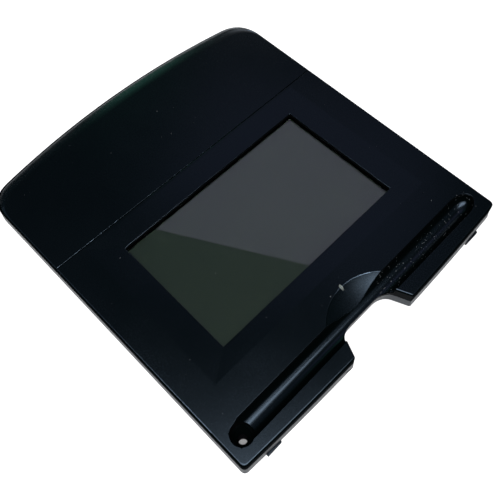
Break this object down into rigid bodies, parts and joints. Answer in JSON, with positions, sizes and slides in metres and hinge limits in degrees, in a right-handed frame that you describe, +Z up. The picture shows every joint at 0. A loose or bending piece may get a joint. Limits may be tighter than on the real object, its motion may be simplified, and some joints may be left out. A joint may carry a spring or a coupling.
{
  "type": "desk signature pad",
  "caption": "Flat black desk signature pad with a wide colour display window, a pen trough with a finger notch along the front edge and an arched back edge.",
  "frame": {"origin": "under the middle of the pad's footprint, on the surface that its feet stand on", "axes": "+Z up, +Y from the user towards the arched back edge, +X to the user's right"},
  "size_m": [0.1752, 0.1941, 0.0145],
  "materials": {
    "black_abs": "satin black with a fine spark-eroded grain",
    "black_abs_lower": "satin black with a slightly coarser grain",
    "window_glass": "hard-coated cover glass over a switched-off display, grey by reflection",
    "foam": "black closed-cell foam",
    "lcd": "polariser film on glass, switched off",
    "diffuser": "milky diffuser film",
    "sheet_steel": "bright rolled sheet",
    "circuit_board": "green solder mask",
    "chip": "moulded epoxy",
    "connector": "natural nylon",
    "latch": "dark nylon",
    "ribbon": "laminated polyester with fine conductor lines",
    "screw_steel": "black zinc",
    "rubber": "matt black rubber"
  },
  "bodies": {
    "pad": {"display_housing": "black_abs", "rear_cover": "black_abs", "bottom_case": "black_abs_lower", "window_gasket": "foam", "display_window": "window_glass", "lcd_panel": "lcd", "backlight_unit": "diffuser", "lcd_frame": "sheet_steel", "digitizer_board": "circuit_board", "digitizer_shield": "sheet_steel", "main_board": "circuit_board", "controller_chip": "chip", "interface_chip": "chip", "quartz_crystal": "sheet_steel", "lcd_ffc_socket": "connector", "digitizer_ffc_socket": "connector", "lcd_ribbon": "ribbon", "digitizer_ribbon": "ribbon", "cable_socket_shell": "sheet_steel", "cable_socket_insert": "chip", "case_screw_front_left": "screw_steel", "case_screw_front_right": "screw_steel", "case_screw_middle_left": "screw_steel", "case_screw_middle_right": "screw_steel", "case_screw_rear_left": "screw_steel", "case_screw_rear_right": "screw_steel", "board_screw_1": "screw_steel", "board_screw_2": "screw_steel", "board_screw_3": "screw_steel", "board_screw_4": "screw_steel", "rubber_foot_front_left": "rubber", "rubber_foot_front_right": "rubber", "rubber_foot_rear_left": "rubber", "rubber_foot_rear_right": "rubber"},
    "lcd_flap": {"lcd_ffc_latch": "latch"},
    "digitizer_flap": {"digitizer_ffc_latch": "latch"}
  },
  "joints": [
    {"name": "lcd_flap_hinge", "type": "hinge", "parent": "pad", "child": "lcd_flap", "pos_m": [-0.018, 0.0438, 0.0088], "axis": [-1, 0, 0], "range_deg": [0, 90]},
    {"name": "digitizer_flap_hinge", "type": "hinge", "parent": "pad", "child": "digitizer_flap", "pos_m": [0.02, 0.0438, 0.0088], "axis": [-1, 0, 0], "range_deg": [0, 90]}
  ]
}
